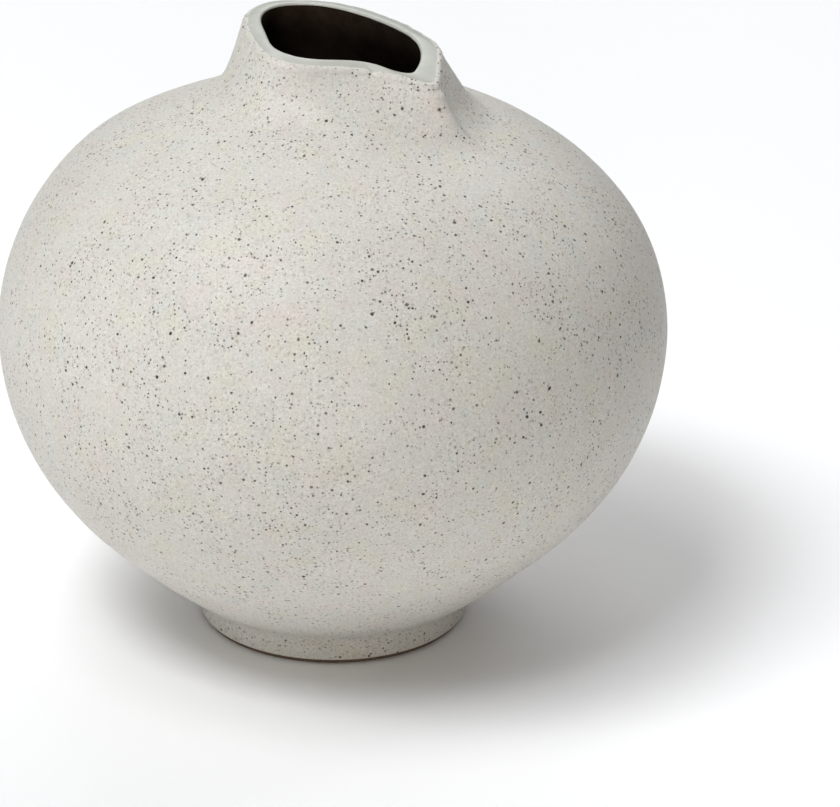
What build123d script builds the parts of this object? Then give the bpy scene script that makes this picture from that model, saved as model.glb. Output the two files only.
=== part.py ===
from build123d import *
import os
import math

os.makedirs("parts", exist_ok=True)

# ---------------------------------------------------------------- driving dimensions (mm)
HEIGHT = 110.2            # level of the mouth above the table
BELLY_D = 120.0           # widest diameter, at about half height
FOOT_R = 24.6             # outside radius of the foot
FOOT_RING_H = 3.6         # height of the foot ring, and depth of the recess inside it
FOOT_RECESS_R = 20.4      # radius of the recess under the floor
FLOOR_T = 3.0             # clay thickness of the floor
WALL_T = 3.0              # clay thickness of the wall
OUTER_GLAZE_T = 0.5       # speckled matt glaze outside
INNER_GLAZE_T = 0.4       # dark liner glaze inside
RIM_GLAZE_T = 0.9         # smooth band on top of the lip
GLAZE_LINE_Z = 0.9        # the outer glaze stops this far above the table
SEAM_Z = 57.0             # joint between the two halves of the belly
COLLAR_Z = 92.0           # joint between shoulder and pinched collar

# outside profile of foot and belly, radius and height, from the table up to the shoulder;
# the last points carry the cone of the shoulder on, under the collar
PROFILE = [
    (24.25, 0.0), (24.58, 0.7), (24.60, 2.2), (24.65, 4.0), (25.35, 5.3), (27.20, 6.75),
    (30.05, 8.55), (33.78, 11.41), (38.79, 15.92), (43.84, 20.54), (48.63, 25.66), (52.81, 31.44),
    (56.18, 37.85), (58.57, 44.80), (59.87, 52.08), (59.94, 59.51), (58.66, 66.84), (56.00, 73.76),
    (52.12, 80.01), (47.25, 85.39), (41.65, 89.81), (35.44, 93.01), (29.37, 95.55), (23.80, 98.05),
    (18.10, 100.30), (12.70, 102.20),
]
# inside of the cavity at the floor, radius and height above the floor's clay surface
FLOOR_CURVE = [(23.0, -1.0), (24.6, 0.0), (26.2, 1.0), (27.9, 2.5), (29.9, 4.6)]
# the hand-built shoulder leans a little to -X as it closes in: height, shift of its centre
LEAN = [(0, 0), (60, 0), (66.8, -0.06), (73.8, -0.25), (80, -0.66), (85.3, -1.25), (89.8, -1.90),
        (94, -2.25), (98, -2.40), (112, -2.45)]

# leaf-shaped mouth, counter-clockwise from the pinched corner: inner edge of the lip ...
MOUTH = [
    (13.14, -10.82), (13.98, -9.60), (14.44, -8.31), (14.82, -6.96), (15.08, -5.56),
    (15.19, -4.11), (15.13, -2.64), (14.88, -1.15), (14.38, 0.40), (13.54, 2.09),
    (12.26, 4.60), (10.32, 7.83), (7.61, 11.39), (4.40, 14.96), (0.93, 18.12),
    (-2.78, 20.09), (-6.04, 20.61), (-8.46, 20.30), (-10.24, 19.43), (-11.42, 18.14),
    (-12.17, 16.58), (-12.64, 14.72), (-12.87, 12.39), (-12.77, 9.26), (-12.26, 5.44),
    (-11.65, 1.42), (-11.06, -2.31), (-10.20, -5.16), (-9.15, -7.06), (-7.97, -8.47),
    (-6.70, -9.33), (-5.25, -9.72), (-3.70, -9.87), (-2.16, -9.82), (-0.49, -9.60),
    (1.45, -9.27), (3.72, -8.99), (6.12, -9.06), (8.33, -9.65), (10.41, -10.53),
]
# ... and outer edge of the lip's band at the same stations
LIP = [
    (16.88, -12.29), (17.42, -10.81), (17.66, -9.22), (17.76, -7.60), (17.88, -5.96),
    (18.02, -4.32), (18.10, -2.61), (17.99, -0.84), (17.50, 1.00), (16.47, 2.78),
    (14.90, 5.25), (12.75, 8.85), (10.05, 12.80), (6.70, 16.75), (2.95, 20.20),
    (-1.15, 22.60), (-5.05, 23.77), (-8.40, 23.52), (-10.95, 22.40), (-12.95, 20.62),
    (-14.28, 18.44), (-15.03, 15.92), (-15.25, 13.00), (-15.15, 9.40), (-14.70, 5.50),
    (-14.06, 1.50), (-13.23, -2.20), (-12.22, -5.42), (-11.12, -8.12), (-9.72, -10.39),
    (-8.02, -11.44), (-6.01, -11.86), (-3.91, -11.78), (-1.71, -11.47), (0.60, -11.09),
    (3.02, -10.79), (5.64, -10.66), (8.38, -10.77), (11.13, -11.20), (13.90, -11.82),
]
LIP_ROUND = 1.1           # rounding outside the lip's band
LIP_DROP = 0.5            # the band slopes outwards by this much
# where the collar's wall would meet the shoulder at the same stations: direction in degrees, radius
ROOT_DEG = [
    -31.0, -28.0, -24.0, -19.5, -14.5, -9.0, -3.0, 3.5, 10.0, 17.0, 26.0, 38.0, 53.0, 68.0, 81.0, 92.0,
    101.0, 109.0, 116.0, 123.0, 130.0, 137.0, 145.0, 154.0, 165.0, 177.0, 190.0, 202.5, 213.5, 223.5,
    233.0, 242.5, 251.5, 260.0, 268.5, 277.0, 286.0, 296.0, 307.0, 318.5,
]
ROOT_R = [
    27.90, 27.35, 26.80, 26.40, 26.10, 25.95, 26.00, 26.40, 27.10, 27.90, 28.40, 28.30, 28.10, 28.20,
    28.40, 28.60, 28.75, 28.41, 27.35, 25.90, 24.12, 22.34, 20.70, 19.40, 18.32, 17.37, 16.64, 16.31,
    16.25, 16.16, 16.14, 16.19, 16.32, 16.42, 16.72, 17.11, 17.90, 19.40, 21.90, 25.00,
]
ROOT_BLEND = [
    6.5, 5.6, 4.8, 4.3, 4.0, 3.8, 3.7, 3.6, 3.4, 3.2, 3.0, 2.9, 2.8, 2.8, 2.8, 2.8, 2.9, 2.9, 2.9, 2.9,
    2.8, 2.7, 2.7, 2.8, 2.9, 3.1, 3.6, 4.4, 5.2, 5.8, 6.0, 6.0, 6.0, 6.0, 6.0, 6.0, 6.0, 6.2, 6.6, 7.0,
]
# the rim is level but for its corner, which is drawn down: direction, where it starts, reach, drop
DIP_WAY = (0.5, -0.87)
DIP_FROM, DIP_REACH, DIP_DROP = 4.0, 16.7, 4.2
INNER_BLEND = 2.6         # rounding where the bore opens into the cavity
STATIONS = len(MOUTH)

# heights of the sections that the walls are lofted through
OUTER_LEVELS = [-4.0, -1.5, 1.0, 3.0, 4.6, 6.0, 7.5, 9.2, 11.6, 16.0, 22.0, 30.0, 39.0, 48.0, 57.0, 65.0,
                73.0, 80.0, 85.5, 89.5, 92.0, 94.0, 95.6, 97.0, 98.4, 99.8, 101.2, 102.8, 104.6,
                107.2, 110.0, 113.0]
INNER_LEVELS = [8.6, 10.0, 12.4, 16.0, 22.0, 30.0, 39.0, 48.0, 57.0, 65.0, 73.0, 79.0, 83.5, 87.0,
                89.5, 91.2, 92.8, 94.2, 95.6, 97.0, 98.6, 100.6, 103.2, 106.6, 110.0, 113.0]


# ---------------------------------------------------------------- curve helpers
def lerp_table(table, x):
    """Value of a table of (x, y) pairs, on straight lines between them."""
    if x <= table[0][0]:
        return table[0][1]
    for (x0, y0), (x1, y1) in zip(table, table[1:]):
        if x <= x1:
            return y0 + (y1 - y0) * (x - x0) / (x1 - x0)
    return table[-1][1]


def smooth_curve(points, steps=12):
    """A smooth (Catmull-Rom) line through an open row of points."""
    ends = [(2 * points[0][0] - points[1][0], 2 * points[0][1] - points[1][1])]
    ends += points
    ends += [(2 * points[-1][0] - points[-2][0], 2 * points[-1][1] - points[-2][1])]
    fine = []
    for p0, p1, p2, p3 in zip(ends, ends[1:], ends[2:], ends[3:]):
        for i in range(steps):
            t = i / steps
            fine.append(tuple(
                0.5 * (2 * b + (c - a) * t + (2 * a - 5 * b + 4 * c - d) * t * t
                       + (3 * b - a - 3 * c + d) * t ** 3)
                for a, b, c, d in zip(p0, p1, p2, p3)))
    fine.append(points[-1])
    return fine


def inset_curve(curve, depth):
    """The curve moved inwards (towards the axis and the cavity) along its normals."""
    moved = []
    for i, (r, z) in enumerate(curve):
        r0, z0 = curve[max(i - 1, 0)]
        r1, z1 = curve[min(i + 1, len(curve) - 1)]
        tr, tz = r1 - r0, z1 - z0
        length = math.hypot(tr, tz)
        moved.append((r - tz / length * depth, z + tr / length * depth))
    return moved


def radius_at(curve, z):
    """Radius of a profile at a height; below its first point it goes straight down."""
    if z <= curve[0][1]:
        return curve[0][0]
    for (r0, z0), (r1, z1) in zip(curve, curve[1:]):
        if z0 <= z <= z1 and z1 > z0:
            return r0 + (r1 - r0) * (z - z0) / (z1 - z0)
    return curve[-1][0]


def height_at(curve, r):
    """Height of the shoulder (the part of the curve above the belly's widest point) at a radius."""
    top = [(a, b) for a, b in curve if b > SEAM_Z]
    for (r0, z0), (r1, z1) in zip(top, top[1:]):
        if r1 <= r <= r0 and r0 > r1:
            return z0 + (z1 - z0) * (r - r0) / (r1 - r0)
    return top[-1][1]


BELLY = smooth_curve(PROFILE)


def meridian(station, belly, corner_r, blend, top_xy, top_z):
    """One vertical line of the collar's wall: shoulder, fillet and wall up to the lip."""
    deg = math.radians(ROOT_DEG[station])

    def on_shoulder(r):
        z = height_at(belly, r)
        return (lerp_table(LEAN, z) + r * math.cos(deg), r * math.sin(deg), z)

    corner = on_shoulder(corner_r)
    start_r = corner_r + blend * 0.88
    points = [on_shoulder(40.0 + (start_r - 40.0) * i / 12) for i in range(12)]
    start = on_shoulder(start_r)
    top = (top_xy[0], top_xy[1], top_z)
    rise = [b - a for a, b in zip(corner, top)]
    length = math.sqrt(sum(v * v for v in rise))
    up = [a + v / length * min(blend, 0.9 * length) for a, v in zip(corner, rise)]
    for i in range(13):
        t = i / 12
        points.append(tuple((1 - t) ** 2 * a + 2 * t * (1 - t) * b + t * t * c
                            for a, b, c in zip(start, corner, up)))
    for i in range(1, 13):
        points.append(tuple(a + (b - a) * i / 12 for a, b in zip(up, top)))
    # carried on past the lip, so that every layer reaches past the level of the mouth
    for i in range(1, 11):
        lean = math.sin(min(i, 3) / 3 * math.pi / 2) * 0.8
        points.append((top[0] + rise[0] / length * lean, top[1] + rise[1] / length * lean,
                       top[2] + 1.0 * i))
    return points


def moved_grid(grid, depth):
    """A grid of wall points moved by depth along its surface normals (positive is inwards)."""
    n, m = len(grid), len(grid[0])
    out = []
    for j in range(n):
        line = []
        for i in range(m):
            a = [q - p for p, q in zip(grid[j - 1][i], grid[(j + 1) % n][i])]
            b = [q - p for p, q in zip(grid[j][max(i - 1, 0)], grid[j][min(i + 1, m - 1)])]
            nx = a[1] * b[2] - a[2] * b[1]
            ny = a[2] * b[0] - a[0] * b[2]
            nz = a[0] * b[1] - a[1] * b[0]
            length = math.sqrt(nx * nx + ny * ny + nz * nz)
            line.append(tuple(p - depth * v / length for p, v in zip(grid[j][i], (nx, ny, nz))))
        out.append(line)
    return out


def level_points(grid, z):
    """Where each line of the grid passes the height z."""
    ring = []
    for line in grid:
        for p, q in zip(line, line[1:]):
            if p[2] <= z <= q[2] and q[2] > p[2]:
                t = (z - p[2]) / (q[2] - p[2])
                ring.append((p[0] + (q[0] - p[0]) * t, p[1] + (q[1] - p[1]) * t))
                break
    return ring


def belly_ring(curve, z):
    """A round section of the belly at the same stations as the collar's."""
    r, x = radius_at(curve, z), lerp_table(LEAN, z)
    return [(x + r * math.cos(math.radians(a)), r * math.sin(math.radians(a))) for a in ROOT_DEG]


def outward(points):
    n = len(points)
    out = []
    for i in range(n):
        tx = points[(i + 1) % n][0] - points[i - 1][0]
        ty = points[(i + 1) % n][1] - points[i - 1][1]
        length = math.hypot(tx, ty)
        out.append((ty / length, -tx / length))
    return out


def rim_dip(point):
    """How far the rim lies below its top level."""
    along = point[0] * DIP_WAY[0] + point[1] * DIP_WAY[1] - DIP_FROM
    return DIP_DROP * (max(along, 0) / DIP_REACH) ** 1.3


# outside of the lip below its rounding
LIP_OUT = [(x + LIP_ROUND * nx, y + LIP_ROUND * ny) for (x, y), (nx, ny) in zip(LIP, outward(LIP))]
LIP_OUT_Z = HEIGHT - LIP_DROP - LIP_ROUND

WALL = OUTER_GLAZE_T + WALL_T + INNER_GLAZE_T
outer_grid = [meridian(j, BELLY, ROOT_R[j], ROOT_BLEND[j], LIP_OUT[j], LIP_OUT_Z - rim_dip(LIP[j]))
              for j in range(STATIONS)]
inner_belly = inset_curve(BELLY, WALL)
inner_grid = [meridian(j, inner_belly, ROOT_R[j] - 3.0, INNER_BLEND, MOUTH[j],
                       HEIGHT - rim_dip(MOUTH[j]))
              for j in range(STATIONS)]

FLOOR_TOP = FOOT_RING_H + FLOOR_T      # clay surface of the floor


def cavity_curve(layer):
    """Belly profile inset by the wall down to the floor; layer is the liner glaze's thickness or 0."""
    side = [p for p in inset_curve(BELLY, OUTER_GLAZE_T + WALL_T + layer) if p[1] > 16.0]
    low = [(r - layer * 0.6, FLOOR_TOP + z + layer) for r, z in FLOOR_CURVE]
    return smooth_curve(low + side[::12])


OUTER_TOP_FROM = 93.0     # sections above this height come from the collar's grid
INNER_TOP_FROM = 88.5


def sections(curve, grid, levels, grid_from):
    rings = []
    for z in levels:
        ring = level_points(grid, z) if z > grid_from else belly_ring(curve, z)
        rings.append((z, ring))
    return rings


STATION_PARAMETERS = [i / STATIONS for i in range(STATIONS + 1)]


QUARTERS = 4              # each ring is four edges, so that no lofted face closes on itself


def ring_face(z, points):
    """Flat face at height z inside a smooth closed line through the points."""
    whole = Edge.make_spline([Vector(x, y, z) for x, y in points], periodic=True,
                             parameters=STATION_PARAMETERS)
    return Face(Wire([whole.trim(i / QUARTERS, (i + 1) / QUARTERS) for i in range(QUARTERS)]))


glaze_out = sections(BELLY, outer_grid, OUTER_LEVELS, OUTER_TOP_FROM)
clay_out = sections(inset_curve(BELLY, OUTER_GLAZE_T), moved_grid(outer_grid, OUTER_GLAZE_T),
                    OUTER_LEVELS, OUTER_TOP_FROM)
floor_clay = [FLOOR_TOP, FLOOR_TOP + 0.9]
floor_glaze = [FLOOR_TOP + INNER_GLAZE_T, FLOOR_TOP + INNER_GLAZE_T + 0.9]
clay_in = sections(cavity_curve(0.0), moved_grid(inner_grid, -INNER_GLAZE_T),
                   floor_clay + INNER_LEVELS, INNER_TOP_FROM)
glaze_in = sections(cavity_curve(INNER_GLAZE_T), inner_grid,
                    floor_glaze + INNER_LEVELS, INNER_TOP_FROM)

for name, rings in (("glaze_out", glaze_out), ("clay_out", clay_out),
                    ("clay_in", clay_in), ("glaze_in", glaze_in)):
    assert all(len(ring) == STATIONS for z, ring in rings), name


# ---------------------------------------------------------------- closed forms the layers are cut from
with BuildPart() as form_glaze_out:
    loft(sections=[ring_face(z, ring) for z, ring in glaze_out], clean=False)

with BuildPart() as form_clay_out:
    loft(sections=[ring_face(z, ring) for z, ring in clay_out], clean=False)

with BuildPart() as form_clay_in:
    loft(sections=[ring_face(z, ring) for z, ring in clay_in], clean=False)

with BuildPart() as form_glaze_in:
    loft(sections=[ring_face(z, ring) for z, ring in glaze_in], clean=False)

for name, form in (("glaze_out", form_glaze_out), ("clay_out", form_clay_out),
                   ("clay_in", form_clay_in), ("glaze_in", form_glaze_in)):
    print(name, round(form.part.volume, 1), form.part.is_valid)

RIM_Z = HEIGHT - RIM_GLAZE_T           # top of the clay, under the band on the lip



def under_rim(top):
    """Everything below the rim's surface when its level part lies at the height top."""
    unit = math.hypot(*DIP_WAY)
    steps = [DIP_FROM + 1.5 * i for i in range(21)]
    curve = [(w / unit, top - DIP_DROP * ((w - DIP_FROM) / DIP_REACH) ** 1.3) for w in steps]
    with BuildPart() as block:
        with BuildSketch(Plane(origin=(0, 0, 0), x_dir=(DIP_WAY[0] / unit, DIP_WAY[1] / unit, 0),
                               z_dir=(DIP_WAY[1] / unit, -DIP_WAY[0] / unit, 0))):
            with BuildLine():
                Spline(*curve, tangents=[(1, 0), (curve[-1][0] - curve[-2][0], curve[-1][1] - curve[-2][1])])
                Polyline(curve[-1], (BELLY_D, curve[-1][1]), (BELLY_D, -20), (-BELLY_D, -20),
                         (-BELLY_D, top), curve[0])
            make_face()
        extrude(amount=BELLY_D, both=True)
    return block.part


under_clay_rim = under_rim(RIM_Z)
under_glazed_rim = under_rim(HEIGHT)

# ---------------------------------------------------------------- the pieces
# each is a slice of the space between two neighbouring forms
# foot ring: the low turned ring under the bowl, bare clay where it stands on the table
with BuildPart() as foot_ring:
    add(form_clay_out.part, clean=False)
    with BuildSketch(Plane.XY):
        Circle(BELLY_D)
        Circle(FOOT_RECESS_R, mode=Mode.SUBTRACT)
    extrude(amount=FOOT_RING_H, mode=Mode.INTERSECT, clean=False)
foot_ring.part.label = "foot_ring"
export_step(foot_ring.part, "parts/foot_ring.step")

# lower half of the belly, with its floor
with BuildPart() as lower_bowl:
    add(form_clay_out.part, clean=False)
    add(form_clay_in.part, mode=Mode.SUBTRACT, clean=False)
    with BuildSketch(Plane.XY.offset(FOOT_RING_H)):
        Circle(BELLY_D)
    extrude(amount=SEAM_Z - FOOT_RING_H, mode=Mode.INTERSECT, clean=False)
lower_bowl.part.label = "lower_bowl"
export_step(lower_bowl.part, "parts/lower_bowl.step")

# upper half of the belly, closing in to the shoulder
with BuildPart() as shoulder_bowl:
    add(form_clay_out.part, clean=False)
    add(form_clay_in.part, mode=Mode.SUBTRACT, clean=False)
    with BuildSketch(Plane.XY.offset(SEAM_Z)):
        Circle(BELLY_D)
    extrude(amount=COLLAR_Z - SEAM_Z, mode=Mode.INTERSECT, clean=False)
shoulder_bowl.part.label = "shoulder_bowl"
export_step(shoulder_bowl.part, "parts/shoulder_bowl.step")

# pinched collar: crown of the shoulder and the neck with its leaf-shaped mouth and one ridge
with BuildPart() as neck_collar:
    add(form_clay_out.part, clean=False)
    add(form_clay_in.part, mode=Mode.SUBTRACT, clean=False)
    with BuildSketch(Plane.XY.offset(COLLAR_Z)):
        Circle(BELLY_D)
    extrude(amount=HEIGHT - COLLAR_Z, mode=Mode.INTERSECT, clean=False)
    add(under_clay_rim, mode=Mode.INTERSECT, clean=False)
neck_collar.part.label = "neck_collar"
export_step(neck_collar.part, "parts/neck_collar.step")

# speckled matt glaze over foot, belly and neck, up to the band on the lip
with BuildPart() as outer_glaze:
    add(form_glaze_out.part, clean=False)
    add(form_clay_out.part, mode=Mode.SUBTRACT, clean=False)
    with BuildSketch(Plane.XY.offset(GLAZE_LINE_Z)):
        Circle(BELLY_D)
    extrude(amount=HEIGHT - GLAZE_LINE_Z, mode=Mode.INTERSECT, clean=False)
    add(under_clay_rim, mode=Mode.INTERSECT, clean=False)
outer_glaze.part.label = "outer_glaze"
export_step(outer_glaze.part, "parts/outer_glaze.step")

# smooth band on top of the lip
with BuildPart() as rim_glaze:
    add(form_glaze_out.part, clean=False)
    add(form_glaze_in.part, mode=Mode.SUBTRACT, clean=False)
    with BuildSketch(Plane.XY.offset(COLLAR_Z)):
        Circle(BELLY_D)
    extrude(amount=HEIGHT + 1 - COLLAR_Z, mode=Mode.INTERSECT, clean=False)
    add(under_glazed_rim, mode=Mode.INTERSECT, clean=False)
    add(under_clay_rim, mode=Mode.SUBTRACT, clean=False)
rim_glaze.part.label = "rim_glaze"
export_step(rim_glaze.part, "parts/rim_glaze.step")

# dark liner glaze over the floor, the cavity and the bore
with BuildPart() as inner_glaze:
    add(form_clay_in.part, clean=False)
    add(form_glaze_in.part, mode=Mode.SUBTRACT, clean=False)
    with BuildSketch(Plane.XY):
        Circle(BELLY_D)
    extrude(amount=HEIGHT, mode=Mode.INTERSECT, clean=False)
    add(under_clay_rim, mode=Mode.INTERSECT, clean=False)
inner_glaze.part.label = "inner_glaze"
export_step(inner_glaze.part, "parts/inner_glaze.step")

for piece in (foot_ring, lower_bowl, shoulder_bowl, neck_collar, outer_glaze, rim_glaze, inner_glaze):
    print(piece.part.label, len(piece.part.solids()), round(piece.part.volume, 1), piece.part.is_valid)
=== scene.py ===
import math

import bpy
import numpy as np
from mathutils import Matrix, Vector


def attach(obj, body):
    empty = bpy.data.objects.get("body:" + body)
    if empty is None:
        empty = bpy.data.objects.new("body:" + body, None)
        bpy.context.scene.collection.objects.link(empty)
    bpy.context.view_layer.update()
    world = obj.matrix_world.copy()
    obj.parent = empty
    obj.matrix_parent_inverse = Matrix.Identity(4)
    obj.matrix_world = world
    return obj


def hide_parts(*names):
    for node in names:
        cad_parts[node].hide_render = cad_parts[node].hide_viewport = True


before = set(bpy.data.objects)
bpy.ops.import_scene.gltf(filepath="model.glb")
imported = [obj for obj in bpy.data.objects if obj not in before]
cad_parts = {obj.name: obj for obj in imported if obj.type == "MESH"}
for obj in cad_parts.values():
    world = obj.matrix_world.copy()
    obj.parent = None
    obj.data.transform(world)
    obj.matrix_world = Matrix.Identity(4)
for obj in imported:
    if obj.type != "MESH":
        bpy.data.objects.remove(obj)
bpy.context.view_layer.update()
scene = bpy.context.scene

# ---------------------------------------------------------------- the vase's form (mm)
HEIGHT = 110.2
GLAZE_LINE_Z = 0.9
FLOOR_TOP = 6.6
SKIN_T = 0.40             # thickness of the outer glaze's shell
LINER_T = 0.30            # thickness of the liner's shell
OUTER_T = 0.5
WALL_T = 3.0
INNER_T = 0.4

PROFILE = [
    (24.25, 0.0), (24.58, 0.7), (24.60, 2.2), (24.65, 4.0), (25.35, 5.3), (27.20, 6.75),
    (30.05, 8.55), (33.78, 11.41), (38.79, 15.92), (43.84, 20.54), (48.63, 25.66), (52.81, 31.44),
    (56.18, 37.85), (58.57, 44.80), (59.87, 52.08), (59.94, 59.51), (58.66, 66.84), (56.00, 73.76),
    (52.12, 80.01), (47.25, 85.39), (41.65, 89.81), (35.44, 93.01), (29.37, 95.55), (23.80, 98.05),
    (18.10, 100.30), (12.70, 102.20),
]
FLOOR_CURVE = [(23.0, -1.0), (24.6, 0.0), (26.2, 1.0), (27.9, 2.5), (29.9, 4.6)]
LEAN = [(0, 0), (60, 0), (66.8, -0.06), (73.8, -0.25), (80, -0.66), (85.3, -1.25), (89.8, -1.90),
        (94, -2.25), (98, -2.40), (112, -2.45)]
MOUTH = [
    (13.14, -10.82), (13.98, -9.60), (14.44, -8.31), (14.82, -6.96), (15.08, -5.56),
    (15.19, -4.11), (15.13, -2.64), (14.88, -1.15), (14.38, 0.40), (13.54, 2.09),
    (12.26, 4.60), (10.32, 7.83), (7.61, 11.39), (4.40, 14.96), (0.93, 18.12),
    (-2.78, 20.09), (-6.04, 20.61), (-8.46, 20.30), (-10.24, 19.43), (-11.42, 18.14),
    (-12.17, 16.58), (-12.64, 14.72), (-12.87, 12.39), (-12.77, 9.26), (-12.26, 5.44),
    (-11.65, 1.42), (-11.06, -2.31), (-10.20, -5.16), (-9.15, -7.06), (-7.97, -8.47),
    (-6.70, -9.33), (-5.25, -9.72), (-3.70, -9.87), (-2.16, -9.82), (-0.49, -9.60),
    (1.45, -9.27), (3.72, -8.99), (6.12, -9.06), (8.33, -9.65), (10.41, -10.53),
]
LIP = [
    (16.88, -12.29), (17.42, -10.81), (17.66, -9.22), (17.76, -7.60), (17.88, -5.96),
    (18.02, -4.32), (18.10, -2.61), (17.99, -0.84), (17.50, 1.00), (16.47, 2.78),
    (14.90, 5.25), (12.75, 8.85), (10.05, 12.80), (6.70, 16.75), (2.95, 20.20),
    (-1.15, 22.60), (-5.05, 23.77), (-8.40, 23.52), (-10.95, 22.40), (-12.95, 20.62),
    (-14.28, 18.44), (-15.03, 15.92), (-15.25, 13.00), (-15.15, 9.40), (-14.70, 5.50),
    (-14.06, 1.50), (-13.23, -2.20), (-12.22, -5.42), (-11.12, -8.12), (-9.72, -10.39),
    (-8.02, -11.44), (-6.01, -11.86), (-3.91, -11.78), (-1.71, -11.47), (0.60, -11.09),
    (3.02, -10.79), (5.64, -10.66), (8.38, -10.77), (11.13, -11.20), (13.90, -11.82),
]
ROOT_DEG = [
    -31.0, -28.0, -24.0, -19.5, -14.5, -9.0, -3.0, 3.5, 10.0, 17.0, 26.0, 38.0, 53.0, 68.0, 81.0, 92.0,
    101.0, 109.0, 116.0, 123.0, 130.0, 137.0, 145.0, 154.0, 165.0, 177.0, 190.0, 202.5, 213.5, 223.5,
    233.0, 242.5, 251.5, 260.0, 268.5, 277.0, 286.0, 296.0, 307.0, 318.5,
]
ROOT_R = [
    27.90, 27.50, 27.20, 27.00, 26.80, 26.70, 26.70, 26.95, 27.50, 28.10, 28.45, 28.30, 28.10, 28.20,
    28.40, 28.60, 28.75, 28.41, 27.35, 25.90, 24.12, 22.34, 20.70, 19.40, 18.32, 17.37, 16.64, 16.31,
    16.25, 16.16, 16.14, 16.19, 16.32, 16.42, 16.72, 17.11, 17.90, 19.40, 21.90, 25.00,
]
ROOT_BLEND = [
    7.0, 7.0, 6.8, 6.4, 5.9, 5.3, 4.7, 4.2, 3.8, 3.4, 3.1, 2.9, 2.8, 2.8, 2.8, 2.8, 2.9, 2.9, 2.9, 2.9,
    2.8, 2.7, 2.7, 2.8, 2.9, 3.1, 3.6, 4.4, 5.2, 5.8, 6.0, 6.0, 6.0, 6.0, 6.0, 6.0, 6.0, 6.2, 6.6, 7.0,
]
# the shoulder is fuller towards the back right: rise, direction and spread in degrees
FULLER = (0.45, 20.0, 55.0)
# the rim is level but for its corner, which is drawn down: direction, where it starts, reach, drop
DIP_WAY = (0.5, -0.87)
DIP_FROM, DIP_REACH, DIP_DROP = 4.0, 16.7, 4.2
LIP_ROUND = 1.1
LIP_DROP = 0.5
INNER_BLEND = 2.6
MOUTH_ROUND = 0.45        # small rounding where the lip's band turns down into the bore

COLUMNS = 400             # vertical lines of the fine mesh round the vase


# ---------------------------------------------------------------- curve helpers
def smooth_curve(points, steps=24):
    """A smooth line through an open row of points."""
    p = np.array(points, float)
    p = np.vstack([2 * p[0] - p[1], p, 2 * p[-1] - p[-2]])
    fine = []
    t = (np.arange(steps) / steps)[:, None]
    for i in range(len(p) - 3):
        a, b, c, d = p[i:i + 4]
        fine.append(0.5 * (2 * b + (c - a) * t + (2 * a - 5 * b + 4 * c - d) * t * t
                           + (3 * b - a - 3 * c + d) * t ** 3))
    fine.append(p[-2][None])
    return np.vstack(fine)


def round_spline(values, x):
    """A smooth closed line through values at 0, 1, 2 ..., read at x."""
    v = np.asarray(values, float)
    n = len(v)
    system = 4 * np.eye(n) + np.roll(np.eye(n), 1, 0) + np.roll(np.eye(n), -1, 0)
    bend = np.linalg.solve(system, 6 * (np.roll(v, -1) - 2 * v + np.roll(v, 1)))
    i = np.floor(x).astype(int)
    t = x - i
    i = i % n
    k = (i + 1) % n
    return (v[i] * (1 - t) + v[k] * t + ((1 - t) ** 3 - (1 - t)) * bend[i] / 6
            + (t ** 3 - t) * bend[k] / 6)


def soft_table(table, x):
    """Value of a table of (x, y) pairs on a smooth line through them."""
    tx, ty = (np.array(c, float) for c in zip(*table))
    step = np.diff(ty) / np.diff(tx)
    slope = np.zeros(len(tx))
    slope[1:-1] = np.where(step[1:] * step[:-1] > 0, (step[1:] + step[:-1]) / 2, 0)
    x = np.clip(x, tx[0], tx[-1])
    i = np.clip(np.searchsorted(tx, x) - 1, 0, len(tx) - 2)
    h = tx[i + 1] - tx[i]
    t = (x - tx[i]) / h
    return ((2 * t ** 3 - 3 * t ** 2 + 1) * ty[i] + (t ** 3 - 2 * t ** 2 + t) * h * slope[i]
            + (3 * t ** 2 - 2 * t ** 3) * ty[i + 1] + (t ** 3 - t ** 2) * h * slope[i + 1])


def inset_curve(curve, depth):
    step = np.gradient(curve, axis=0)
    step /= np.linalg.norm(step, axis=1)[:, None]
    return curve + np.stack([-step[:, 1], step[:, 0]], 1) * depth


def resample(curve, at):
    """Points of a curve at distances along it."""
    s = np.concatenate([[0], np.cumsum(np.linalg.norm(np.diff(curve, axis=0), axis=1))])
    return np.stack([np.interp(at, s, c) for c in curve.T], 1), s[-1]


def length_at(curve, height):
    """Distance along a rising curve where it first reaches a height."""
    s = np.concatenate([[0], np.cumsum(np.linalg.norm(np.diff(curve, axis=0), axis=1))])
    return float(np.interp(height, curve[:, 1], s))


def column_values(values):
    return round_spline(values, np.arange(COLUMNS) * len(MOUTH) / COLUMNS)


TURN = np.radians(-37 + 9 * np.arange(COLUMNS) * len(MOUTH) / COLUMNS
                  + column_values(np.array(ROOT_DEG) - (-37 + 9 * np.arange(len(MOUTH)))))
COS, SIN = np.cos(TURN), np.sin(TURN)
mouth = np.stack([column_values(c) for c in zip(*MOUTH)], 1)
lip = np.stack([column_values(c) for c in zip(*LIP)], 1)


def ease_corner(ring, times, reach):
    """Rounds the pinched corner (at the first column) of a ring a little more."""
    near = np.exp(-(((np.arange(COLUMNS) + COLUMNS / 2) % COLUMNS - COLUMNS / 2) / reach) ** 2)[:, None]
    for _ in range(times):
        ring = ring + near * 0.5 * (0.5 * (np.roll(ring, 1, 0) + np.roll(ring, -1, 0)) - ring)
    return ring


mouth = ease_corner(mouth, 60, 16.0)
lip = ease_corner(lip, 26, 12.0)
root_r = column_values(ROOT_R)
root_blend = column_values(ROOT_BLEND)


def rim_dip(ring):
    """How far the rim lies below its top level."""
    along = ring[:, 0] * DIP_WAY[0] + ring[:, 1] * DIP_WAY[1] - DIP_FROM
    return DIP_DROP * (np.clip(along, 0, None) / DIP_REACH) ** 1.3


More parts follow.
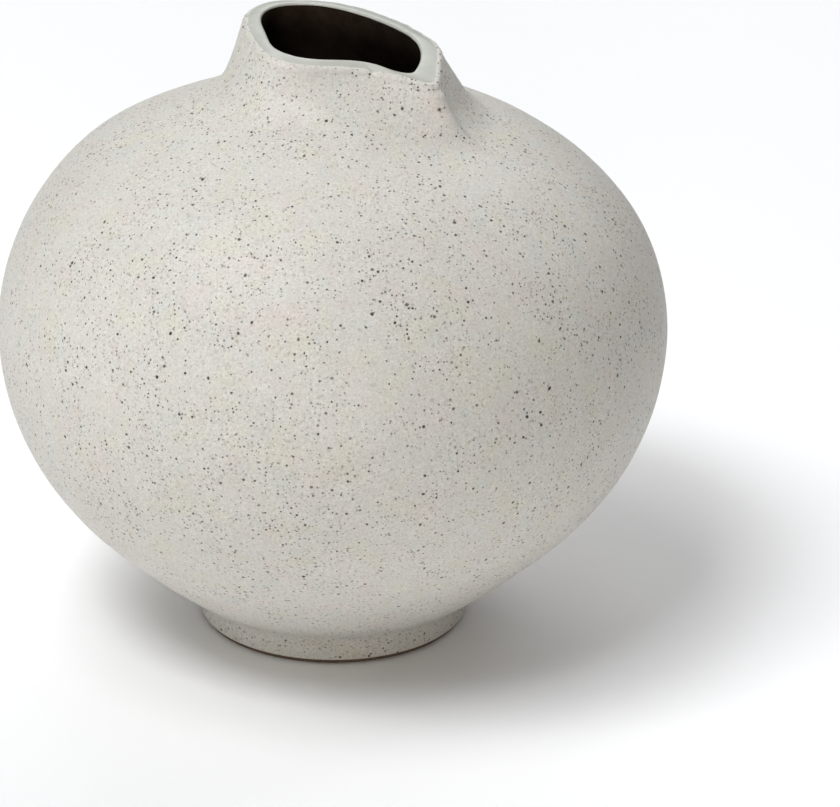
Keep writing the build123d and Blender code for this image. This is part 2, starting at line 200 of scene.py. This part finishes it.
def outward(ring):
    step = np.roll(ring, -1, 0) - np.roll(ring, 1, 0)
    step /= np.linalg.norm(step, axis=1)[:, None]
    return np.stack([step[:, 1], -step[:, 0]], 1)


FULL = FULLER[0] * np.exp(-(((np.degrees(TURN) - FULLER[1] + 180) % 360 - 180) / FULLER[2]) ** 2)


def on_round(r, z):
    """Points of the round body: r and z are one value, or one for each column."""
    r = np.broadcast_to(np.asarray(r, float), (COLUMNS,))
    z = np.broadcast_to(np.asarray(z, float), (COLUMNS,))
    t = np.clip((z - 88.0) / 7.5, 0, 1)
    z = z + FULL * t * t * (3 - 2 * t)
    return np.stack([soft_table(LEAN, z) + r * COS, r * SIN, z], 1)


BELLY = smooth_curve(PROFILE)


def dome_height(curve, r):
    top = curve[curve[:, 1] > 57.0]
    top = top[np.argmax(top[:, 0]):]
    return np.interp(-np.asarray(r, float), -top[:, 0], top[:, 1])


def collar_rows(curve, corner_r, blend, top, from_r, dome_rows, blend_rows, wall_rows):
    """Shoulder, fillet and wall of the collar, up to a ring of 3-D points."""
    corner = on_round(corner_r, dome_height(curve, corner_r))
    start_r = corner_r + blend * 0.88
    rows = []
    for i in range(dome_rows):
        r = from_r + (start_r - from_r) * i / dome_rows
        rows.append(on_round(r, dome_height(curve, r)))
    start = on_round(start_r, dome_height(curve, start_r))
    rise = top - corner
    length = np.linalg.norm(rise, axis=1)
    up = corner + rise / length[:, None] * np.minimum(blend, 0.9 * length)[:, None]
    for i in range(blend_rows):
        t = i / blend_rows
        rows.append((1 - t) ** 2 * start + 2 * t * (1 - t) * corner + t * t * up)
    for i in range(wall_rows):
        rows.append(up + (top - up) * i / wall_rows)
    return rows


def unevenness(p, size):
    """Slow, even waves over the hand-made wall, as a height at each point."""
    rng = np.random.default_rng(int(size))
    out = np.zeros(p.shape[:-1])
    for _ in range(14):
        direction = rng.normal(size=3)
        direction /= np.linalg.norm(direction)
        wave = size * rng.uniform(0.7, 1.6)
        out += np.sin(p @ direction * 2 * math.pi / wave + rng.uniform(0, 2 * math.pi))
    return out / 14 ** 0.5


def normals_of(grid):
    """Outward normals of a grid of rows (bottom to top) and columns (counter-clockwise)."""
    round_ = np.roll(grid, -1, 1) - np.roll(grid, 1, 1)
    up = np.gradient(grid, axis=0)
    n = np.cross(round_, up)
    return n / np.linalg.norm(n, axis=2)[:, :, None]


# outer skin: from the glaze line on the foot up to the outer edge of the lip's band
start_s = length_at(BELLY, GLAZE_LINE_Z)
foot_s = length_at(BELLY, 9.0)
_, whole = resample(BELLY, [0])
side = BELLY[np.argmax(BELLY[:, 0]):]
end_s = whole - (np.concatenate([[0], np.cumsum(np.linalg.norm(np.diff(side[::-1], axis=0), axis=1))])
                 [np.searchsorted(side[::-1][:, 0], 39.0)])
at = np.concatenate([np.arange(start_s, foot_s, 0.38), np.arange(foot_s, end_s, 1.45)])
belly_points, _ = resample(BELLY, at)
# the lip's edge wanders a little, as the band was wiped by hand
lip = lip + outward(lip) * 0.10 * unevenness(np.column_stack([lip, np.full(COLUMNS, HEIGHT)]), 3.0)[:, None]
lip_out = lip + LIP_ROUND * outward(lip)
lip_z = HEIGHT - LIP_DROP - rim_dip(lip)
lip_edge = np.column_stack([lip_out, lip_z - LIP_ROUND])
rows = [on_round(r, z) for r, z in belly_points]
rows += collar_rows(BELLY, root_r, root_blend, lip_edge, 39.0, 16, 16, 12)
for i in range(11):
    g = math.pi / 2 * i / 10
    q = lip + LIP_ROUND * math.cos(g) * outward(lip)
    rows.append(np.column_stack([q, lip_z - LIP_ROUND + LIP_ROUND * math.sin(g)]))
skin = np.array(rows)

# the foot runs softly into the belly
heel, calf = np.searchsorted(belly_points[:, 1], [2.6, 13.0])
for _ in range(34):
    skin[heel:calf] = 0.5 * skin[heel:calf] + 0.25 * (skin[heel - 1:calf - 1] + skin[heel + 1:calf + 1])

# soften the joins between shoulder, fillet and wall along each column
first = len(belly_points) + 2
last = len(skin) - 13
for _ in range(3):
    inner = skin[first:last].copy()
    skin[first:last] = 0.5 * inner + 0.25 * (skin[first - 1:last - 1] + skin[first + 1:last + 1])

# the pinched ridge is sharpest at the lip and melts into the shoulder
near_corner = np.exp(-(((np.arange(COLUMNS) + COLUMNS / 2) % COLUMNS - COLUMNS / 2) / 22.0) ** 2)[:, None]
for j in range(first, len(skin) - 11):
    below = np.clip((len(skin) - 11 - j) / 22.0, 0, 1)
    for _ in range(int(10 + 40 * below)):
        ring = skin[j]
        pull = 0.25 * (np.roll(ring, 1, 0) + np.roll(ring, -1, 0)) - 0.5 * ring
        skin[j] = ring + near_corner * pull * min(1.0, (j - first) / 6.0 + 0.15)

normal = normals_of(skin)
height = skin[:, :, 2]
fade = np.clip((height - 4.0) / 12.0, 0, 1)
swell = 0.085 * unevenness(skin, 44.0) + 0.035 * unevenness(skin, 17.0)
swell += np.clip((height - 92.0) / 8.0, 0, 1) * 0.06 * unevenness(skin, 11.0)
# the pinched ridge stands a little proud of the collar, with a shallow hollow on its left
along = (np.arange(COLUMNS) + COLUMNS / 2) % COLUMNS - COLUMNS / 2
standing = np.clip((lip_z - LIP_ROUND * 0.4 - height) / 2.5, 0, 1) * np.clip((height - 95.2) / 5.0, 0, 1)
standing = standing * standing * (3 - 2 * standing)
swell += standing * (0.85 * np.exp(-((along - 1.0) / 8.0) ** 2) - 0.28 * np.exp(-((along + 23.0) / 11.0) ** 2))
# a small nick in the front of the lip
nick = np.exp(-((np.arange(COLUMNS) - 364.5) / 2.4) ** 2) * np.clip((height - lip_z + 0.9) / 0.6, 0, 1)
swell -= 0.32 * nick
skin = skin + normal * (swell * fade)[:, :, None]
edge = skin[-1]                                   # outer edge of the band, shared with the band

# the lip's band: from that edge up to the mouth, then a small rounding down into the bore
rows = [edge]
crest = mouth + MOUTH_ROUND * outward(mouth)
crest_z = HEIGHT - LIP_DROP - rim_dip(crest)
uneven_top = 0.05 * unevenness(np.column_stack([mouth, np.full(COLUMNS, HEIGHT)]), 15.0)
for i in range(1, 9):
    t = i / 8
    q = edge[:, :2] * (1 - t) + crest * t
    z = edge[:, 2] * (1 - t) + (crest_z + uneven_top) * t + LIP_DROP * math.sin(math.pi / 2 * t)
    rows.append(np.column_stack([q, z]))
top_z = rows[-1][:, 2]
for i in range(1, 6):
    g = math.pi / 2 * i / 5
    q = mouth + MOUTH_ROUND * (1 - math.sin(g)) * outward(mouth)
    rows.append(np.column_stack([q, top_z - MOUTH_ROUND * (1 - math.cos(g))]))
band = np.array(rows)
bore_edge = band[-1]

# the liner: bore, cavity and floor, from the mouth down to the middle of the floor
inner_belly = inset_curve(BELLY, OUTER_T + WALL_T + INNER_T)
liner_rows = []
low = [(r - INNER_T * 0.6, FLOOR_TOP + z + INNER_T) for r, z in FLOOR_CURVE]
wall_in = inner_belly[inner_belly[:, 1] > 16.0]
cavity = smooth_curve(low + [tuple(p) for p in wall_in[::24]], 8)
cavity = cavity[cavity[:, 1] > FLOOR_TOP + INNER_T]
keep = np.arange(len(cavity)) <= np.argmin(np.abs(cavity[:, 0] - 37.0) + (cavity[:, 1] < 57) * 99)
cavity = cavity[keep]
for r in np.linspace(0.6, cavity[0][0], 14)[:-1]:
    liner_rows.append(on_round(r, FLOOR_TOP + INNER_T))
for r, z in cavity[::3]:
    liner_rows.append(on_round(r, z))
liner_rows += collar_rows(inner_belly, root_r - 3.0, np.full(COLUMNS, INNER_BLEND), bore_edge,
                          float(cavity[::3][-1][0]) - 0.8, 8, 8, 14)
liner_rows.append(bore_edge)
liner = np.array(liner_rows)


# ---------------------------------------------------------------- meshes
def add_mesh(name, points, faces, sharp=()):
    """A mesh of rings; the rings named in sharp are hard edges."""
    data = bpy.data.meshes.new(name)
    data.from_pydata((np.asarray(points) * 0.001).tolist(), [], faces)
    data.validate()
    data.shade_smooth()
    ends = np.zeros(len(data.edges) * 2, int)
    data.edges.foreach_get("vertices", ends)
    ends = ends.reshape(-1, 2) // COLUMNS
    hard = (ends[:, 0] == ends[:, 1]) & np.isin(ends[:, 0], sharp)
    marks = data.attributes.get("sharp_edge") or data.attributes.new("sharp_edge", "BOOLEAN", "EDGE")
    marks.data.foreach_set("value", hard)
    data.update()
    piece = bpy.data.objects.new(name, data)
    scene.collection.objects.link(piece)
    return piece


def ring_faces(n_rows, closed):
    """Quads between neighbouring rings; closed joins the last ring to the first."""
    faces = []
    for j in range(n_rows if closed else n_rows - 1):
        k = (j + 1) % n_rows
        a, b = j * COLUMNS, k * COLUMNS
        for i in range(COLUMNS):
            m = (i + 1) % COLUMNS
            faces.append((a + i, a + m, b + m, b + i))
    return faces


def smooth_inset(grid, depth):
    return grid - normals_of(grid) * depth


# outer skin as a closed shell: outside, then its inner face back down
back = smooth_inset(skin, SKIN_T)[::-1]
back = np.concatenate([back[:1], back[1:-1:4], back[-1:]])
shell = np.concatenate([skin, back])
outer_skin = add_mesh("outer_glaze_skin", shell.reshape(-1, 3), ring_faces(len(shell), True),
                      (0, len(skin) - 1))

drop = np.array([0, 0, -0.45])
band_back = np.array([band[-1] + drop + np.column_stack([0.25 * outward(mouth), np.zeros(COLUMNS)]),
                      band[8] + drop * 1.3, band[4] + drop * 1.2,
                      band[0] + drop * 0.9 - np.column_stack([0.15 * outward(lip), np.zeros(COLUMNS)])])
shell = np.concatenate([band, band_back])
rim_skin = add_mesh("rim_band_skin", shell.reshape(-1, 3), ring_faces(len(shell), True),
                    (0, len(band) - 1))

# the liner's visible face looks inwards; its back lies towards the clay
n_vis = len(liner)
liner_back = liner + normals_of(liner) * LINER_T
back_rows = [0] + list(range(6, n_vis - 1, 4)) + [n_vis - 1]
liner_back = liner_back[back_rows]
shell = np.concatenate([liner, liner_back[::-1]])
points = np.concatenate([shell.reshape(-1, 3),
                         [[0, 0, FLOOR_TOP + INNER_T], [0, 0, FLOOR_TOP + INNER_T - LINER_T]]])
faces = [tuple(reversed(f)) for f in ring_faces(len(shell), False)]
pole_a, pole_b = len(points) - 2, len(points) - 1
start_b = (len(shell) - 1) * COLUMNS
for i in range(COLUMNS):
    m = (i + 1) % COLUMNS
    faces.append((pole_a, i, m))
    faces.append((pole_b, start_b + m, start_b + i))
liner_skin = add_mesh("liner_glaze_skin", points, faces, (n_vis - 1,))


# the pinched collar's clay, between the two skins
clay_out = smooth_inset(skin, SKIN_T + 0.10)[len(belly_points) + 3:len(skin) - 8]
clay_in = (liner + normals_of(liner) * (LINER_T + 0.08))
clay_in = clay_in[clay_in[:, :, 2].min(axis=1) > 89.0]
clay_in = clay_in[:-3]
collar = np.concatenate([clay_out, clay_in[::-1]])
collar_clay = add_mesh("neck_collar_clay", collar.reshape(-1, 3), ring_faces(len(collar), True),
                       (0, len(clay_out) - 1, len(clay_out), len(collar) - 1))


# ---------------------------------------------------------------- materials
class Graph:
    """Short-hand for building a node material."""

    def __init__(self, name):
        self.material = bpy.data.materials.new(name)
        self.material.use_nodes = True
        self.nodes = self.material.node_tree.nodes
        self.links = self.material.node_tree.links
        self.shader = next(n for n in self.nodes if n.type == "BSDF_PRINCIPLED")
        self.coordinate = self.nodes.new("ShaderNodeTexCoord").outputs["Object"]

    def put(self, value, socket):
        if hasattr(value, "is_output"):
            self.links.new(value, socket)
        elif value is not None:
            socket.default_value = value

    def math(self, operation, a, b=None, c=None, clamp=False):
        node = self.nodes.new("ShaderNodeMath")
        node.operation = operation
        node.use_clamp = clamp
        for value, socket in zip((a, b, c), node.inputs):
            self.put(value, socket)
        return node.outputs[0]

    def vector(self, operation, a, b=None, scale=None):
        node = self.nodes.new("ShaderNodeVectorMath")
        node.operation = operation
        self.put(a, node.inputs[0])
        self.put(b, node.inputs[1])
        if scale is not None:
            node.inputs[3].default_value = scale
        return node.outputs[0]

    def noise(self, coordinate, scale, detail=2.0, rough=0.5, output=0, distortion=0.0):
        node = self.nodes.new("ShaderNodeTexNoise")
        node.noise_dimensions = "3D"
        self.put(coordinate, node.inputs["Vector"])
        node.inputs["Scale"].default_value = scale
        node.inputs["Detail"].default_value = detail
        node.inputs["Roughness"].default_value = rough
        node.inputs["Distortion"].default_value = distortion
        return node.outputs[output]

    def cells(self, coordinate, scale, seed=0.0):
        """Scattered points: distance to the nearest one (in units of its spacing) and its random numbers."""
        node = self.nodes.new("ShaderNodeTexVoronoi")
        node.voronoi_dimensions = "3D"
        node.feature = "F1"
        moved = self.vector("ADD", coordinate, (seed, seed * 1.7, seed * 0.6))
        self.put(moved, node.inputs["Vector"])
        node.inputs["Scale"].default_value = scale
        node.inputs["Randomness"].default_value = 1.0
        split = self.nodes.new("ShaderNodeSeparateColor")
        self.links.new(node.outputs["Color"], split.inputs[0])
        return node.outputs["Distance"], split.outputs

    def ramp(self, value, low, high, to_low=0.0, to_high=1.0, smooth=True):
        node = self.nodes.new("ShaderNodeMapRange")
        node.interpolation_type = "SMOOTHSTEP" if smooth else "LINEAR"
        node.clamp = True
        for v, socket in zip((value, low, high, to_low, to_high), node.inputs):
            self.put(v, socket)
        return node.outputs[0]

    def mix(self, factor, a, b, blend="MIX"):
        node = self.nodes.new("ShaderNodeMix")
        node.data_type = "RGBA"
        node.blend_type = blend
        node.clamp_factor = True
        self.put(factor, node.inputs["Factor"])
        self.put(a if not isinstance(a, tuple) else (*a, 1.0), node.inputs[6])
        self.put(b if not isinstance(b, tuple) else (*b, 1.0), node.inputs[7])
        return node.outputs[2]

    def bump(self, height, strength, distance, normal=None):
        node = self.nodes.new("ShaderNodeBump")
        node.inputs["Strength"].default_value = strength
        node.inputs["Distance"].default_value = distance
        self.put(height, node.inputs["Height"])
        self.put(normal, node.inputs["Normal"])
        return node.outputs[0]

    def finish(self, color, roughness, normal, specular=0.5, coat=0.0, coat_roughness=0.1):
        self.put(color, self.shader.inputs["Base Color"])
        self.put(roughness, self.shader.inputs["Roughness"])
        self.put(normal, self.shader.inputs["Normal"])
        self.shader.inputs["Specular IOR Level"].default_value = specular
        self.shader.inputs["Coat Weight"].default_value = coat
        self.shader.inputs["Coat Roughness"].default_value = coat_roughness
        return self.material


def specks(g, point, spacing, share, r_small, r_large, seed, crowd=None, edge=0.5):
    """Round grains scattered through the glaze. Returns how much each point is covered, and the
    grain's random number. Sizes are in mm; crowd makes them gather in places."""
    distance, rnd = g.cells(point, 1.0 / spacing, seed)
    distance = g.math("MULTIPLY", distance, spacing)
    there = g.math("LESS_THAN", rnd[0], share if crowd is None else g.math("MULTIPLY", crowd, share))
    size = g.math("MULTIPLY", rnd[1], rnd[1])
    radius = g.math("MULTIPLY_ADD", size, r_large - r_small, r_small)
    inner = g.math("MULTIPLY", radius, edge)
    cover = g.ramp(distance, radius, inner)
    return g.math("MULTIPLY", cover, there), rnd[2]


def speckled_glaze(name, base, speck_share=1.0):
    g = Graph(name)
    mm = g.vector("SCALE", g.coordinate, scale=1000.0)
    wobble = g.vector("SUBTRACT", g.noise(mm, 2.2, 2.0, 0.6, 1), (0.5, 0.5, 0.5))
    point = g.vector("ADD", mm, g.vector("SCALE", wobble, scale=0.28))
    crowd = g.ramp(g.noise(mm, 0.11, 3.0, 0.6), 0.34, 0.66, 0.35, 1.65)

    # colour of the glaze itself: slow, slight drifts towards pink, straw and cool grey, and a fine grain
    drift = g.noise(mm, 0.16, 4.0, 0.62, 1, 0.4)
    drift_parts = g.nodes.new("ShaderNodeSeparateColor")
    g.links.new(drift, drift_parts.inputs[0])
    color = g.mix(g.ramp(drift_parts.outputs[0], 0.46, 0.70, 0.0, 0.50), base,
                  (base[0] * 1.02, base[1] * 0.93, base[2] * 0.92))
    color = g.mix(g.ramp(drift_parts.outputs[1], 0.46, 0.70, 0.0, 0.52), color,
                  (base[0] * 1.00, base[1] * 0.99, base[2] * 0.86))
    color = g.mix(g.ramp(drift_parts.outputs[2], 0.46, 0.70, 0.0, 0.52), color,
                  (base[0] * 0.93, base[1] * 0.99, base[2] * 1.02))
    cloud = g.ramp(g.noise(mm, 0.22, 4.0, 0.6), 0.3, 0.7, 0.975, 1.025)
    grain = g.ramp(g.noise(mm, 2.6, 2.0, 0.7), 0.25, 0.75, 0.82, 1.18, smooth=False)
    color = g.mix(1.0, color, g.math("MULTIPLY", cloud, grain), "MULTIPLY")

    # grains under the glaze: faint, soft-edged
    for spacing, share, small, large, seed, low, high in (
            (0.90, 0.66, 0.22, 0.42, 3.1, 0.12, 0.36),
            (1.10, 0.66, 0.25, 0.50, 77.3, 0.10, 0.32),
            (1.80, 0.60, 0.35, 0.75, 61.7, 0.05, 0.15)):
        deep, rnd = specks(g, point, spacing, share * speck_share, small, large, seed, crowd, 0.2)
        color = g.mix(g.math("MULTIPLY", deep, g.math("MULTIPLY_ADD", rnd, high, low)), color,
                      (0.20, 0.165, 0.125))
    # rusty or straw-coloured halos, scattered on their own cells and not tied to the grains
    halo, rnd = specks(g, point, 4.2, 0.30 * speck_share, 0.7, 1.5, 11.7, crowd, 0.0)
    color = g.mix(g.math("MULTIPLY", halo, 0.12), color,
                  g.mix(rnd, (0.56, 0.46, 0.27), (0.60, 0.45, 0.38)))
    # iron grains that come through: fine, medium and a few large
    for spacing, share, small, large, seed, low, high in (
            (0.70, 0.44, 0.14, 0.27, 5.3, 0.35, 0.60),
            (1.00, 0.50, 0.18, 0.33, 23.9, 0.55, 0.45),
            (1.80, 0.60, 0.23, 0.42, 41.3, 0.85, 0.15)):
        cover, rnd = specks(g, point, spacing, share * speck_share, small, large, seed, crowd)
        strength = g.math("MULTIPLY", cover, g.math("MULTIPLY_ADD", rnd, high, low))
        color = g.mix(strength, color, g.mix(rnd, (0.080, 0.052, 0.030), (0.026, 0.021, 0.017)))

    rough = g.ramp(g.noise(mm, 0.8, 2.0, 0.5), 0.3, 0.7, 0.52, 0.64)
    pits = g.noise(mm, 2.4, 3.0, 0.65)
    peel = g.noise(mm, 0.55, 2.0, 0.5)
    height_ = g.math("MULTIPLY_ADD", peel, 2.2, g.math("MULTIPLY", pits, 0.8))
    normal_ = g.bump(height_, 0.55, 0.00007)
    return g.finish(color, rough, normal_, specular=0.42, coat=0.06, coat_roughness=0.35)


def band_glaze(name, base):
    g = Graph(name)
    mm = g.vector("SCALE", g.coordinate, scale=1000.0)
    cloud = g.ramp(g.noise(mm, 0.25, 3.0, 0.6), 0.3, 0.7, 0.94, 1.04)
    color = g.mix(1.0, base, cloud, "MULTIPLY")
    fine, rnd = specks(g, mm, 1.1, 0.16, 0.10, 0.28, 7.7, None, 0.3)
    color = g.mix(g.math("MULTIPLY", fine, g.math("MULTIPLY_ADD", rnd, 0.35, 0.10)), color,
                  (0.16, 0.12, 0.09))
    rough = g.ramp(g.noise(mm, 0.9, 2.0, 0.5), 0.3, 0.7, 0.34, 0.46)
    normal_ = g.bump(g.noise(mm, 0.7, 2.0, 0.5), 0.3, 0.00006)
    return g.finish(color, rough, normal_, specular=0.5, coat=0.1, coat_roughness=0.2)


def dark_liner(name):
    g = Graph(name)
    mm = g.vector("SCALE", g.coordinate, scale=1000.0)
    shade = g.ramp(g.noise(mm, 0.3, 4.0, 0.6), 0.3, 0.7)
    color = g.mix(shade, (0.030, 0.019, 0.012), (0.052, 0.033, 0.022))
    grain, rnd = specks(g, mm, 1.3, 0.3, 0.1, 0.3, 2.2, None, 0.3)
    color = g.mix(g.math("MULTIPLY", grain, 0.6), color, (0.012, 0.009, 0.008))
    rough = g.ramp(g.noise(mm, 1.2, 2.0, 0.5), 0.3, 0.7, 0.62, 0.75)
    normal_ = g.bump(g.noise(mm, 0.6, 3.0, 0.6), 0.4, 0.0001)
    return g.finish(color, rough, normal_, specular=0.2)


def raw_clay(name, base):
    g = Graph(name)
    mm = g.vector("SCALE", g.coordinate, scale=1000.0)
    shade = g.ramp(g.noise(mm, 0.4, 4.0, 0.6), 0.3, 0.7)
    color = g.mix(shade, base, (base[0] * 0.80, base[1] * 0.76, base[2] * 0.72))
    grog, rnd = specks(g, mm, 0.9, 0.35, 0.1, 0.3, 9.1, None, 0.4)
    color = g.mix(g.math("MULTIPLY", grog, 0.7), color,
                  g.mix(rnd, (0.05, 0.035, 0.025), (0.30, 0.25, 0.20)))
    height_ = g.math("ADD", g.noise(mm, 1.6, 4.0, 0.7), g.math("MULTIPLY", grog, -0.5))
    normal_ = g.bump(height_, 0.5, 0.00015)
    rough = g.ramp(g.noise(mm, 1.0, 2.0, 0.5), 0.3, 0.7, 0.82, 0.95)
    return g.finish(color, rough, normal_, specular=0.25)


glaze_material = speckled_glaze("speckled_matt_glaze", (0.600, 0.582, 0.537))
band_material = band_glaze("lip_band_glaze", (0.472, 0.482, 0.436))
liner_material = dark_liner("dark_liner_glaze")
# the foot's bare clay: dark brown like the clay body, and a little darker still; that extra darkness is
# painted contact shadow, so the thin band under the glaze line reads as the dark shadow where the foot meets
# the floor
foot_clay_and_contact_shade = raw_clay("bare_foot_clay_and_contact_shade", (0.150, 0.110, 0.080))
clay_material = raw_clay("clay_body", (0.170, 0.125, 0.092))


def dress(piece, material):
    piece.data.materials.clear()
    piece.data.materials.append(material)


for piece, material, node, slot_name in (
        (outer_skin, glaze_material, "outer_glaze", "speckled_glaze"),
        (rim_skin, band_material, "rim_glaze", "rim_band"),
        (liner_skin, liner_material, "inner_glaze", "liner_glaze"),
        (collar_clay, clay_material, "neck_collar", "clay_body")):
    dress(piece, material)
    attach(piece, "root")
    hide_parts(node)

for node, material in (("foot_ring", foot_clay_and_contact_shade), ("lower_bowl", clay_material),
                       ("shoulder_bowl", clay_material)):
    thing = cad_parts[node]
    if thing.material_slots:
        for s in thing.material_slots:
            s.material = material
    else:
        thing.data.materials.append(material)

# ---------------------------------------------------------------- floor, light, camera
floor_data = bpy.data.meshes.new("floor")
floor_data.from_pydata([(-4, -4, 0), (4, -4, 0), (4, 4, 0), (-4, 4, 0)], [], [(0, 1, 2, 3)])
floor = bpy.data.objects.new("floor", floor_data)
scene.collection.objects.link(floor)
floor_graph = Graph("pale_floor")
floor_graph.finish((0.975, 0.978, 0.985, 1.0), 0.9, None, specular=0.1)
floor_data.materials.append(floor_graph.material)

world = bpy.data.worlds.new("studio")
scene.world = world
world.use_nodes = True
world.node_tree.nodes["Background"].inputs["Color"].default_value = (1.0, 1.0, 1.0, 1.0)
world.node_tree.nodes["Background"].inputs["Strength"].default_value = 0.02

TARGET = Vector((0.0, 0.0, 0.05))
# name, direction it comes from (degrees: azimuth from +X, elevation), side, power, colour
LIGHTS = [
    ("window_high", 210.0, 58.0, 0.40, 6.00, (0.985, 0.992, 1.0)),
    ("window_front", 240.0, 58.0, 0.40, 6.00, (0.950, 0.965, 1.0)),
    ("window_top", 200.0, 74.0, 0.40, 3.15, (1.0, 0.993, 0.973)),
    ("left_wall", 180.0, 12.0, 0.90, 3.90, (0.951, 0.982, 1.0)),
    ("overhead", 0.0, 90.0, 0.90, 2.00, (0.97, 0.985, 1.0)),
    ("back_right", 45.0, 40.0, 0.90, 4.60, (0.985, 0.985, 1.0)),
    ("back", 90.0, 40.0, 0.90, 4.90, (0.985, 0.990, 1.0)),
    ("low_front", 270.0, 8.0, 0.25, 4.60, (1.0, 0.930, 0.860)),
]
lamps = []
for name, azimuth, elevation, side_, power, colour in LIGHTS:
    data = bpy.data.lights.new(name, "AREA")
    data.shape = "SQUARE"
    data.size = side_
    data.energy = power
    data.color = colour
    lamp = bpy.data.objects.new(name, data)
    scene.collection.objects.link(lamp)
    a, e = math.radians(azimuth), math.radians(elevation)
    way = Vector((math.cos(a) * math.cos(e), math.sin(a) * math.cos(e), math.sin(e)))
    lamp.location = TARGET + way * 1.4
    lamp.rotation_mode = "QUATERNION"
    lamp.rotation_quaternion = way.to_track_quat("Z", "Y")
    lamps.append(lamp)

# the camera stands 0.72 m away, 22.5 degrees above level, and is turned a little to the right of
# the vase and below its middle, so that the vase stands left of centre in the frame
ELEVATION = math.radians(22.5)
AIM_Z = 0.04919
STAND_OFF = 0.7244
WIDE, TALL = 840.0, 807.0
REACH = 4000.0            # focal length in pixels
forward = Vector((0, math.cos(ELEVATION), -math.sin(ELEVATION)))
right = Vector((1, 0, 0))
upward = Vector((0, math.sin(ELEVATION), math.cos(ELEVATION)))
ahead = (forward * REACH + right * (WIDE / 2 - 333.7) - upward * (TALL / 2 - 360.0)).normalized()
across = (right - ahead * right.dot(ahead)).normalized()
above = across.cross(ahead)
camera_data = bpy.data.cameras.new("camera")
camera_data.sensor_width = 36.0
camera_data.lens = REACH / WIDE * 36.0
camera_data.clip_start, camera_data.clip_end = 0.01, 20.0
camera = bpy.data.objects.new("camera", camera_data)
scene.collection.objects.link(camera)
camera.matrix_world = Matrix((
    (across.x, above.x, -ahead.x, 0.0),
    (across.y, above.y, -ahead.y, -STAND_OFF * math.cos(ELEVATION)),
    (across.z, above.z, -ahead.z, AIM_Z + STAND_OFF * math.sin(ELEVATION)),
    (0.0, 0.0, 0.0, 1.0)))
scene.camera = camera
scene.view_settings.view_transform = "Standard"
scene.view_settings.look = "None"
